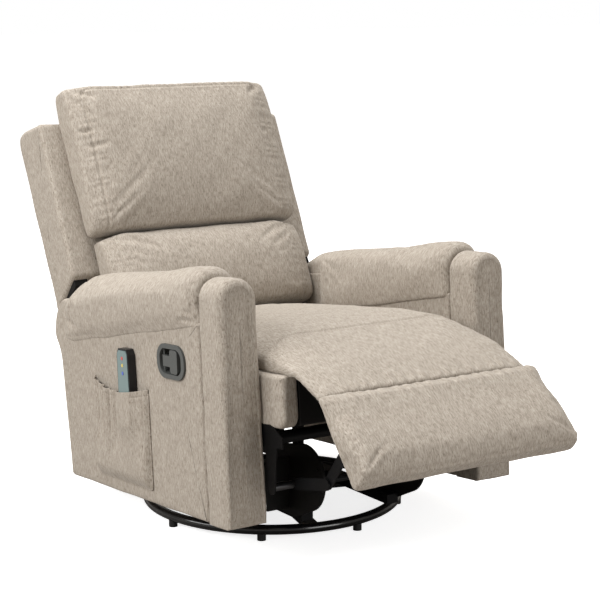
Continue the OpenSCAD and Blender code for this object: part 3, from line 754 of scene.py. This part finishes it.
def makeLowerCushion():
    u = lowerCushion
    profile = filleted(u["profile"], u["fillets"], 220)

    def drawnIn(x, ring):
        # the ends are thinner, and the top corners sit a little lower than the middle
        share = 1 - 0.34 * float(smoothStep((abs(x) - 0.205) / 0.075))
        z = ring[:, 1] - 0.012 * float(smoothStep((abs(x) - 0.21) / 0.07)) * (ring[:, 1] > 0.15)
        return np.stack([ring[:, 0] * share, z], axis=1)
    piece = padPiece("lowerCushion", backPlace, profile, u["halfWidth"], u["edge"], fabric, drawnIn, stations=90)
    side = u["halfWidth"] - u["seamInset"]
    seams = ([(-side, 0.02), (-side - 0.003, 0.238)], [(side, 0.02), (side + 0.003, 0.238)])

    def held(p):
        rim = (np.abs(p[:, 0]) > u["halfWidth"] - 0.006) | (p[:, 1] > -0.006) | (p[:, 2] < 0.028)
        for seam in seams:
            rim |= (nearLine(p[:, [0, 2]], seam)[0] < 0.004) & (p[:, 1] < -0.02)
        return rim
    puffUp(piece, backPlace, u["voxel"], u["cap"], held)
    front = lambda p: p[:, 1] < -0.018
    for seam in seams:
        pressSeam(piece, backPlace, seam, 0.0022, 0.0028, where=front, pucker=0.0006, pitch=0.02,
                  spread=0.018, seed=21)
    softLumps(piece, 0.0007, 0.09, 6)
    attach(finishPad(piece, backPlace, profile), "back")
    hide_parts("lower_back_cushion")


seatPad = {
    # (y, z) square to the seat, from the tail of the cushion round the front roll
    "profile": [(0.206, 0.400), (0.206, 0.442), (0.160, 0.452), (0.060, 0.458), (-0.120, 0.470), (-0.300, 0.478),
                (-0.385, 0.470), (-0.455, 0.446), (-0.515, 0.420), (-0.560, 0.397), (-0.600, 0.378), (-0.609, 0.366),
                (-0.602, 0.356), (-0.5965, 0.3560), (-0.5245, 0.3925), (-0.512, 0.3975)],
    "fillets": [0.006, 0.02, 0.04, 0.05, 0.05, 0.05, 0.03, 0.03, 0.03, 0.03, 0.012, 0.008, 0.003, 0.002, 0.01, 0.01],
    "under": [(-0.612, 0.350), (-0.5965, 0.356), (-0.5245, 0.3925), (-0.512, 0.3975), (0.206, 0.400)],
    "halfWidth": 0.272, "edge": 0.008, "voxel": 0.007, "cap": 0.012,
    "seam": -0.385,
}


def makeSeatPad():
    u = seatPad
    profile = filleted(u["profile"], u["fillets"], 440)
    under = np.array(u["under"])

    def crowned(x, ring):
        # the top falls towards both sides, down to a thin edge that lies on the seat's frame
        low = np.interp(ring[:, 0], under[:, 0], under[:, 1])
        side = min(1.0, max(0.0, (abs(x) - 0.170) / 0.102))
        thin = 0.62 * side ** 2.0
        front = smoothStep((-0.30 - ring[:, 0]) / 0.2)
        return np.stack([ring[:, 0], low + (ring[:, 1] - low) * (1 - thin * (1 - 0.25 * front))], axis=1)
    piece = padPiece("seatPad", seatPlace, profile, u["halfWidth"], u["edge"], fabric, crowned, stations=110)

    def held(p):
        low = np.interp(p[:, 1], under[:, 0], under[:, 1])
        return (p[:, 2] < low + 0.006) | (np.abs(p[:, 0]) > u["halfWidth"] - 0.008) | (p[:, 1] < -0.600)
    puffUp(piece, seatPlace, u["voxel"], u["cap"], held)
    top = lambda p: p[:, 2] > np.interp(p[:, 1], under[:, 0], under[:, 1]) + 0.008
    bow = [(0.262, 0.052), (0.250, 0.024), (0.236, 0.007), (0.215, 0.0)]
    seam = [(-x, u["seam"] - drop) for x, drop in bow] + [(x, u["seam"] - drop) for x, drop in bow[::-1]]
    pressSeam(piece, seatPlace, seam, 0.0030, 0.0030, plane=(0, 1), where=top, pucker=0.0006, pitch=0.028,
              spread=0.020, seed=31)
    pressSeam(piece, seatPlace, [(-0.272, -0.604), (0.272, -0.604)], 0.0, 0.004, plane=(0, 1), where=top,
              pucker=0.0016, pitch=0.030, spread=0.030, seed=33)
    softLumps(piece, 0.0009, 0.11, 7)
    finishPad(piece, seatPlace, profile, capTurned=True)
    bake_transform(piece)
    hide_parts("seat_cushion", "chaise_pad")


restPad = {
    # (y, z) square to the footrest board, whose outer end is towards -y
    "profile": [(0.000, -0.003), (0.003, 0.008), (-0.010, 0.019), (-0.046, 0.027), (-0.118, 0.049), (-0.176, 0.059),
                (-0.202, 0.054), (-0.214, 0.034), (-0.210, 0.008), (-0.198, 0.0006), (-0.012, 0.0006), (-0.008, -0.003)],
    "fillets": [0.002, 0.008, 0.012, 0.02, 0.02, 0.018, 0.014, 0.014, 0.006, 0.004, 0.001, 0.001],
    "halfWidth": 0.283, "edge": 0.010, "voxel": 0.006, "cap": 0.007,
}


def makeRestPad():
    u = restPad
    profile = filleted(u["profile"], u["fillets"], 280)
    piece = padPiece("footrestPad", restPlace, profile, u["halfWidth"], u["edge"], fabric, stations=100)
    puffUp(piece, restPlace, u["voxel"], u["cap"], lambda p: (p[:, 2] < 0.004) | (p[:, 1] > -0.008))
    nose = lambda p: p[:, 1] < -0.15
    pressSeam(piece, restPlace, [(-0.288, 0.045), (0.288, 0.045)], 0.0022, 0.0026, plane=(0, 2), where=nose,
              pucker=0.0005, pitch=0.02, spread=0.012, seed=41)
    rear = lambda p: p[:, 2] > 0.006
    pressSeam(piece, restPlace, [(-0.283, 0.003), (0.283, 0.003)], 0.0, 0.004, plane=(0, 1), where=rear,
              pucker=0.0015, pitch=0.030, spread=0.034, seed=33)
    softLumps(piece, 0.0008, 0.10, 8)
    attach(finishPad(piece, restPlace, profile, capTurned=True), "footrest")
    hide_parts("footrest_pad")


seatBox = {"edge": 0.010, "cheek": 0.039, "overhang": 0.0090, "frontBack": 0.022, "reach": 0.110}


def makeSeatBox():
    # two padded cheeks that run back beside the seat's steel, and a black panel between them
    u = seatBox
    lo, hi = reach("seat_box", seatPlace)
    front, rear = lo[1] + 0.020, hi[1] + u["reach"]
    profile = filleted([(rear, lo[2]), (rear, hi[2] + 0.004), (front + 0.002, hi[2] + 0.004), (front, lo[2])],
                       [0.004, 0.004, 0.006, 0.034], 200)
    for side, name in ((-1, "seatCheekNear"), (1, "seatCheekFar")):
        rings = rollRings(profile, u["cheek"] / 2, u["edge"], stations=12)
        rings[..., 0] += side * (hi[0] + u["overhang"] - u["cheek"] / 2)
        piece = addPiece(name, loftMesh(name, toRow(seatPlace, rings)), fabric)
        softLumps(piece, 0.0006, 0.06, 9)
        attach(finishPad(piece, seatPlace, profile), "seat")
    # a plain black panel fills the space between the two cheeks
    panel = filleted([(hi[1], lo[2] + 0.006), (hi[1], hi[2]), (lo[1] + u["frontBack"], hi[2]),
                      (lo[1] + u["frontBack"], lo[2] + 0.006)], 0.004, 120)
    between = hi[0] + u["overhang"] - u["cheek"] - 0.0005
    cloth = padPiece("seatDustCloth", seatPlace, panel, between, 0.002, hard["cover_black"], stations=40)
    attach(cloth, "seat")
    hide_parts("seat_box")


backShell = {
    "wing": [(0.018, 0.150), (0.146, 0.094), (0.156, 0.548), (0.134, 0.568), (0.018, 0.548)],
    "skirt": [(0.001, -0.057), (0.095, -0.057), (0.108, 0.110), (0.108, 0.180), (0.001, 0.180)],
    "half": 0.347, "edge": 0.012,
    # a thin black band along the underside of each wing
    "strap": [(0.028, 0.128), (0.130, 0.083), (0.138, 0.104), (0.030, 0.152)],
    "strapHalf": 0.018, "strapMiddle": 0.322,
}


def makeShell():
    u = backShell
    wing = filleted(u["wing"], [0.010, 0.012, 0.030, 0.030, 0.012], 300)
    skirt = filleted(u["skirt"], 0.008, 200)
    piece = padPiece("backShell", backPlace, wing, u["half"], u["edge"], fabric, stations=120)
    outer = lambda p: np.abs(p[:, 0]) > u["half"] - 0.004
    for side in (-1, 1):
        pressSeam(piece, backPlace, [(0.128, 0.12), (0.132, 0.48)], 0.0012, 0.003, plane=(1, 2),
                  where=lambda p: outer(p) & (p[:, 0] * side > 0), pucker=0.0005, pitch=0.02, spread=0.012, seed=51)
    softLumps(piece, 0.0007, 0.10, 11)
    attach(finishPad(piece, backPlace, wing), "back")
    # the skirt takes the darker copy of the cloth, which paints in its shade
    low = padPiece("backSkirt", backPlace, skirt, 0.2695, 0.006, shadowedChenille, stations=80)
    softLumps(low, 0.0005, 0.10, 12)
    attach(finishPad(low, backPlace, skirt), "back")
    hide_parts("back_shell", "back_front_panel", "back_frame")
    strap = filleted(u["strap"], 0.002, 60)
    for side, name in ((-1, "wingStrapNear"), (1, "wingStrapFar")):
        rings = rollRings(strap, u["strapHalf"], 0.0015, stations=10)
        rings[..., 0] += side * u["strapMiddle"]
        band = addPiece(name, loftMesh(name, toRow(backPlace, rings)), hard["cover_black"])
        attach(band, "back")


armPanel = {
    # outline (y, z) square to the seat, with the top edge hidden under the pad
    "outline": [(-0.3220, 0.075), (0.343, 0.075), (0.367, 0.376), (0.393, 0.408), (0.396, 0.430), (0.382, 0.472),
                (0.350, 0.508), (0.200, 0.520), (-0.3220, 0.505)],
    "fillets": [0.004, 0.010, 0.030, 0.020, 0.020, 0.030, 0.020, 0.02, 0.004],
    "edge": 0.009, "cupHalf": (0.0485, 0.0295), "cupCorner": 4.2, "cupDepth": 0.034,
}


def makeArmPanel(side, name, nodes, cup):
    # Rings run from the edge of the handle's cup (or from a point) out to the outline, over the
    # edge, and back to the middle of the inner face.
    u = armPanel
    hi = reach("arm_outer_left", seatPlace)[1]
    inner = reach("arm_inner_left", seatPlace)[0][0]
    outline = filleted(u["outline"], u["fillets"], 380)
    bezelLow, bezelHigh = reach("handle_bezel", seatPlace)
    middle = (bezelLow[1:] + bezelHigh[1:]) / 2
    way = outline - middle
    angle = np.arctan2(way[:, 1], way[:, 0])
    half, n = u["cupHalf"], u["cupCorner"]
    radius = ((np.abs(np.cos(angle)) / half[0]) ** n + (np.abs(np.sin(angle)) / half[1]) ** n) ** (-1 / n)
    unit = np.stack([np.cos(angle), np.sin(angle)], axis=1)
    hole = middle + unit * (radius[:, None] if cup else 0.004)
    rings = []

    def ring(flat, x):
        rings.append(np.column_stack([np.full(len(flat), side * x), flat]))
    edge, face = u["edge"], hi[0] - 0.0004
    if cup:
        for share in (0.1, 0.4):
            ring(middle + (hole - middle) * share, face - u["cupDepth"])
        for x in np.linspace(face - u["cupDepth"], face, 5)[:-1]:
            ring(hole, x)
    flatEdge = inset(outline, edge)
    for s in np.linspace(0, 1, 80):
        ring(hole + (flatEdge - hole) * s, face)
    for turn in np.linspace(0, np.pi / 2, 6)[1:]:
        ring(inset(outline, edge * (1 - math.sin(turn))), face - edge * (1 - math.cos(turn)))
    for x in np.linspace(face - edge, inner + 0.004, 10)[1:]:
        ring(outline, x)
    ring(inset(outline, 0.003), inner)
    for s in np.linspace(1, 0.02, 40):
        ring(middle + (inset(outline, 0.005) - middle) * s, inner)
    piece = addPiece(name, loftMesh(name, toRow(seatPlace, np.array(rings))), fabric)
    softLumps(piece, 0.0005, 0.12, 13)
    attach(finishPad(piece, seatPlace, outline), "seat")
    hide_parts(*nodes)


armPost = {"topRound": 0.019, "footRound": 0.009, "seamInset": 0.026, "seamDepth": 0.0020, "panelPuff": 0.003}


def makePost(side, name, node):
    # An arch outline in (x, z) carried forward and rolled over at the front. The roll is large
    # at the top and small at the floor, and an arch-shaped seam runs down the right-hand side.
    u = armPost
    lo, hi = reach(node, seatPlace)
    left, right = (lo[0], hi[0]) if side > 0 else (-hi[0], -lo[0])
    middle, half = (left + right) / 2, (right - left) / 2
    turn = np.linspace(0, np.pi, 50)
    arch = [(middle + half * math.cos(a), hi[2] - half + half * math.sin(a)) for a in turn]
    outline = evenly(np.array([(left, lo[2]), (right, lo[2])] + arch), 360, closed=True)
    spine = np.stack([np.full(len(outline), middle), np.clip(outline[:, 1], lo[2] + half, hi[2] - half)], axis=1)
    roll = u["footRound"] + (u["topRound"] - u["footRound"]) * smoothStep((outline[:, 1] - 0.14) / 0.38)
    front, back = lo[1], hi[1] - 0.0005
    rings = []

    def ring(distance, y):
        share = np.broadcast_to(np.asarray(distance) / half, (len(outline),))[:, None]
        flat = outline + (spine - outline) * share
        rings.append(np.column_stack([side * flat[:, 0], np.broadcast_to(y, (len(flat),)), flat[:, 1]]))
    for distance in (0.95 * half, 0.5 * half, 0.020, 0.009):
        ring(distance, back)
    for step in np.linspace(0, np.pi / 2, 6):
        ring(0.009 - 0.009 * math.sin(step), back - 0.009 * (1 - math.cos(step)))
    for share in np.linspace(0, 1, 18)[1:]:
        ring(0.0, back - 0.009 - (back - 0.009 - front - roll) * share)
    for step in np.linspace(0, np.pi / 2, 14)[1:]:
        ring(roll * (1 - math.cos(step)) * 0.86, front + roll * (1 - math.sin(step)))
    for share in np.linspace(0, 1, 26)[1:]:
        distance = roll * 0.86 + (half * 0.98 - roll * 0.86) * share
        ring(distance, front - u["panelPuff"] * smoothStep(share) + u["panelPuff"] * 0.9)
    piece = addPiece(name, loftMesh(name, toRow(seatPlace, np.array(rings))), fabric)
    sew = half - u["seamInset"]
    centre = side * middle
    seam = [(centre + sew * math.cos(a), hi[2] - half + 0.012 + sew * math.sin(a)) for a in np.linspace(1.1, 0, 12)]
    seam += [(centre + sew, 0.42), (centre + sew + 0.004, 0.30)]
    facing = lambda p: p[:, 1] < front + 0.026
    pressSeam(piece, seatPlace, seam, u["seamDepth"], 0.0026, where=facing, pucker=0.0003, pitch=0.02, spread=0.012,
              taper=True, seed=55)
    softLumps(piece, 0.0008, 0.09, 14)
    mapCloth(piece, seatPlace, wrappedRound(outline * np.array([side, 1]), (0, 2), 1), 1)
    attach(piece, "seat")
    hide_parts(node)


armPad = {
    # seat-square lines: the top, and the lower seam where the pad meets the side panel
    "top": [(-0.321, 0.621), (-0.290, 0.620), (0.180, 0.578), (0.240, 0.568), (0.290, 0.548), (0.326, 0.520),
            (0.346, 0.488), (0.350, 0.470)],
    "bottom": [(-0.321, 0.496), (0.290, 0.408), (0.325, 0.414), (0.345, 0.434), (0.350, 0.458)],
    "section": [(-0.0535, 0.0), (0.0535, 0.0), (0.057, 0.22), (0.056, 0.74), (0.030, 1.0), (-0.030, 1.0),
                (-0.056, 0.74), (-0.057, 0.22)],
    "innerStep": (0.200, 0.2866),   # behind this y the inner side stays clear of the seat's steelwork
    "noseRound": 0.034, "noseTuck": 0.019, "voxel": 0.0055, "cap": 0.008,
    # three tucks at the front lower corner, then the seam across the rear end
    "creases": [[(-0.312, 0.505), (-0.296, 0.522), (-0.272, 0.530)],
                [(-0.314, 0.510), (-0.304, 0.540), (-0.296, 0.575)],
                [(-0.312, 0.503), (-0.280, 0.507), (-0.240, 0.503)],
                [(0.292, 0.415), (0.290, 0.480), (0.280, 0.535), (0.255, 0.570)]],
}


def makePads():
    # Sections across the arm follow the top line and the seam line from front to rear. The front
    # end is rounded in plan and tucks in behind the post, and the rear end rolls down to the seam.
    u = armPad
    lo, hi = reach("arm_pad_left", seatPlace)
    middle = (lo[0] + hi[0]) / 2
    top, bottom = np.array(u["top"]), np.array(u["bottom"])
    nose = u["noseRound"]
    straightEnd, tailEnd = 0.25, 0.3495
    ys = np.concatenate([
        lo[1] + nose * (1 - np.cos(np.linspace(0, np.pi / 2, 14))),
        np.linspace(lo[1] + nose + 0.006, straightEnd, 84),
        straightEnd + (tailEnd - straightEnd) * np.sin(np.linspace(0.06, np.pi / 2, 44))])
    squeeze = [1, 0.12]
    rounds = [0.004, 0.004, 0.03, 0.05, 0.04, 0.04, 0.05, 0.03]
    unit = filleted(np.array(u["section"]) * squeeze, rounds, 130) / squeeze
    rings = []
    for y in ys:
        high = np.interp(y, top[:, 0], top[:, 1])
        low = np.interp(y, bottom[:, 0], bottom[:, 1])
        tuck = 1 - math.sqrt(max(0.0, 1 - max(0.0, 1 - (y - lo[1]) / nose) ** 2))
        tail = 0.009 * float(smoothStep((y - 0.31) / 0.04))
        x = middle + unit[:, 0] * (1 - (u["noseTuck"] * tuck + tail) / 0.057)
        z = low + (high - low - 0.022 * tuck) * unit[:, 1]
        if y > u["innerStep"][0]:
            x = np.maximum(x, u["innerStep"][1])
        rings.append(np.column_stack([x, np.full(len(x), y), z]))
    piece = addPiece("armPadFar", loftMesh("armPadFar", toRow(seatPlace, np.array(rings))), fabric)

    def held(p):
        low = np.interp(p[:, 1], bottom[:, 0], bottom[:, 1])
        step = (p[:, 1] > u["innerStep"][0]) & (p[:, 0] < u["innerStep"][1] + 0.006)
        return (p[:, 2] < low + 0.007) | step | (p[:, 1] > 0.342)
    puffUp(piece, seatPlace, u["voxel"], u["cap"], held)
    outerFace = lambda p: p[:, 0] > middle
    for k, line in enumerate(u["creases"]):
        pressSeam(piece, seatPlace, line, 0.0034, 0.005, plane=(1, 2), where=outerFace, taper=True, seed=60 + k)
    softLumps(piece, 0.0010, 0.10, 15)
    other = addPiece("armPadNear", piece.data.copy(), fabric)
    movePoints(other, vertexArray(other.data) * [-1, 1, 1])
    other.data.flip_normals()
    for pad, node in ((piece, "arm_pad_left"), (other, "arm_pad_right")):
        mapPad(pad)
        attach(pad, "seat")
        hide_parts(node)


def mapPad(piece):
    # cloth map by the way each face looks: across runs along the arm, along runs over it
    mesh = piece.data
    local = toLocal(seatPlace, vertexArray(mesh))
    normals, totals, vertexOf = faceLoops(mesh)
    ways = np.abs(normals).argmax(axis=1)
    way, p = np.repeat(ways, totals)[:, None], local[vertexOf]
    uv = np.where(way == 0, p[:, [1, 2]], np.where(way == 1, p[:, [0, 2]], p[:, [1, 0]]))
    mesh.uv_layers.new(name="cloth").uv.foreach_set("vector", uv.astype(np.float32).ravel())


pocket = {
    "flat": (0.330, 0.245),   # cut width and length, before the hem's elastic gathers it
    "ruffles": 10, "ruffleDepth": 0.0110, "thickness": 0.0014, "wall": 0.3806,
    # how far the hem hangs below the pocket's top, from the front corner to the rear one
    "hem": [(0.0, 0.002), (0.165, 0.010), (0.35, 0.016), (0.534, 0.020), (0.69, 0.018), (0.864, 0.009), (1.0, 0.000)],
}


def makePocket():
    # A grid over the pocket's width and height. It stands off the arm by a shallow bulge, with
    # upright ruffles that are deepest under the gathered hem and die away towards the bottom.
    u = pocket
    lo, hi = reach("side_pocket", seatPlace)
    remoteLow, remoteHigh = reach("remote_body", seatPlace)
    across, upward = np.meshgrid(np.linspace(0, 1, 260), np.linspace(0, 1, 150), indexing="ij")
    y = lo[1] + (hi[1] - lo[1]) * across
    hem = np.array(u["hem"])
    sag = np.interp(across, hem[:, 0], hem[:, 1])
    z = lo[2] + (hi[2] - lo[2] - sag) * upward
    rim = np.clip(np.minimum(across, 1 - across) * 14, 0, 1)
    shape = np.sin(np.pi / 2 * rim) * np.sin(np.pi / 2 * np.clip(upward * 7, 0, 1))
    room = -lo[0] - 0.0004 - u["wall"]
    overRemote = smoothStep(1.5 - np.abs(y - (remoteLow[1] + remoteHigh[1]) / 2) / 0.040)
    gather = smoothStep((upward - 0.15) / 0.5)
    drift = across + 0.018 * np.sin(11 * across + 1.0) + 0.02 * (upward - 1) * np.sin(4 * across)
    ridge = np.abs(np.sin(np.pi * u["ruffles"] * drift + 0.6)) ** 0.7
    ridge = ridge * (0.72 + 0.28 * np.sin(17 * across + 2))
    stand = 0.56 * room + 0.52 * room * overRemote * smoothStep((upward - 0.45) / 0.3)
    stand = stand - u["ruffleDepth"] * gather * (1 - ridge) * (1 - 0.82 * overRemote) + 0.12 * room
    lip = 0.0013 * np.exp(-((upward - 0.94) / 0.010) ** 2)
    x = u["wall"] + np.clip(stand * shape - lip, 0.0002, room)
    points = toRow(seatPlace, np.stack([-x, y, z], axis=-1)).reshape(-1, 3)
    i, j = np.meshgrid(np.arange(259), np.arange(149), indexing="ij")
    near, far = i * 150 + j, (i + 1) * 150 + j
    quads = np.stack([near, near + 1, far + 1, far], axis=-1).reshape(-1, 4)
    piece = addPiece("sidePocket", meshFrom("sidePocket", points, quads[:, ::-1]), fabric)
    thick = piece.modifiers.new("thick", "SOLIDIFY")
    thick.thickness = u["thickness"]
    thick.offset = -1
    settle(piece)
    mapCloth(piece, seatPlace, lambda p: np.stack([p[:, 1] * 1.25, p[:, 2]], axis=1), 1, limit=2)
    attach(piece, "seat")
    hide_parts("side_pocket")
    # a welt sewn round both sides and the bottom
    edge = np.array([(lo[1], hi[2] - 0.012), (lo[1], lo[2]), (hi[1], lo[2]), (hi[1], hi[2] + 0.002)])
    path = evenly(filletedOpen(edge, 0.006), 260)
    welt = tubeAlong("pocketWelt", path, -u["wall"] - 0.0008, 0.0017)
    mapCloth(welt, seatPlace, lambda p: p[:, [1, 2]], 1, limit=2)
    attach(welt, "seat")


def filletedOpen(points, radius):
    # an open line whose inner corners are cut back by the radius
    out = [points[0]]
    for a, b, c in zip(points[:-2], points[1:-1], points[2:]):
        out += [b + (a - b) / np.linalg.norm(a - b) * radius, b + (c - b) / np.linalg.norm(c - b) * radius]
    return np.array(out + [points[-1]])


def tubeAlong(name, path, x, radius, sides=8):
    # a round cord carried along a (y, z) path on the arm's face
    step = np.gradient(path, axis=0)
    step /= np.linalg.norm(step, axis=1)[:, None]
    normal = np.stack([-step[:, 1], step[:, 0]], axis=1)
    turn = np.linspace(0, 2 * np.pi, sides, endpoint=False)
    flat = path[:, None] + normal[:, None] * (radius * np.cos(turn))[None, :, None]
    xs = np.broadcast_to(x + radius * np.sin(turn), flat.shape[:2])
    rings = np.concatenate([xs[..., None], flat], axis=-1)
    return addPiece(name, loftMesh(name, toRow(seatPlace, rings)), fabric)


makeShell()
print("back shell made")
makeUpperCushion()
makeLowerCushion()
print("back cushions made")
makeSeatPad()
makeSeatBox()
makeRestPad()
print("seat, front roll and footrest made")
makeArmPanel(-1, "armPanelNear", ("arm_outer_right", "arm_core_right", "arm_inner_right"), True)
makeArmPanel(1, "armPanelFar", ("arm_outer_left", "arm_core_left", "arm_inner_left"), False)
makePost(-1, "armPostNear", "arm_post_right")
makePost(1, "armPostFar", "arm_post_left")
makePads()
makePocket()
print("arms made")

dustCovered = ("chaise_board", "footrest_board")    # boards with black cloth stapled underneath
for name, node in frame["nodes"].items():
    slot = node.data.materials[0].name.split(".")[0] if node.data.materials else ""
    if name in dustCovered:
        slot = "cover_black"
    if slot in hard:
        node.data.materials.clear()
        node.data.materials.append(hard[slot])
print("steelwork finished")
